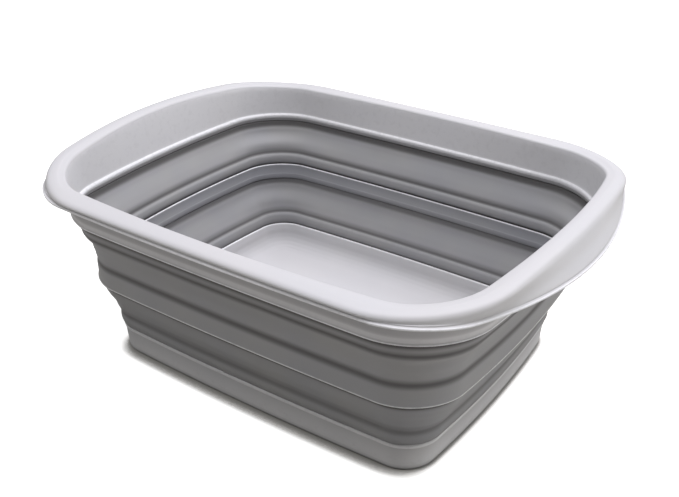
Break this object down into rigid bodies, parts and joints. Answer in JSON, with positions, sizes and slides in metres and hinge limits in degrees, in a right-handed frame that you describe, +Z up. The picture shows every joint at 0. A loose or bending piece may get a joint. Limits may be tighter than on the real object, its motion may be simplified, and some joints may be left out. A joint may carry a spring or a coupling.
{
  "type": "collapsible wash tub",
  "caption": "Rectangular collapsible wash tub with folding soft walls, a rigid rim with end handle lips, a stiffening ring and a base tray.",
  "frame": {"origin": "centre of the base, on the surface that the tub stands on", "axes": "+X along the tub towards one handle lip, +Z up; the tub is the same both ways along X and along Y"},
  "size_m": [0.3816, 0.287, 0.1486],
  "materials": {
    "rigid_plastic": "satin moulded polypropylene, light grey",
    "ring_plastic": "satin moulded polypropylene, mid grey",
    "soft_wall": "matte thermoplastic rubber, mid grey"
  },
  "bodies": {
    "base": {"base_tray": "rigid_plastic", "base_cuff": "soft_wall"},
    "lower_panel": {"lower_fold": "soft_wall"},
    "mid": {"mid_ring": "ring_plastic", "mid_cuff": "soft_wall"},
    "upper_panel": {"upper_fold": "soft_wall"},
    "rim": {"rim_frame": "rigid_plastic", "rim_cuff": "soft_wall"}
  },
  "joints": [
    {"name": "lower_stage", "type": "slide", "parent": "base", "child": "mid", "axis": [0, 0, -1], "range_m": [0, 0.054]},
    {"name": "upper_stage", "type": "slide", "parent": "mid", "child": "rim", "axis": [0, 0, -1], "range_m": [0, 0.043]},
    {"name": "lower_panel_follow", "type": "slide", "parent": "base", "child": "lower_panel", "axis": [0, 0, -1], "range_m": [0, 0.027], "deforming": ["lower_fold"]},
    {"name": "upper_panel_follow", "type": "slide", "parent": "mid", "child": "upper_panel", "axis": [0, 0, -1], "range_m": [0, 0.0215], "deforming": ["upper_fold"]}
  ],
  "couplings": [
    {"joint": "lower_panel_follow", "follows": "lower_stage", "ratio": 0.5},
    {"joint": "upper_panel_follow", "follows": "upper_stage", "ratio": 0.5}
  ]
}
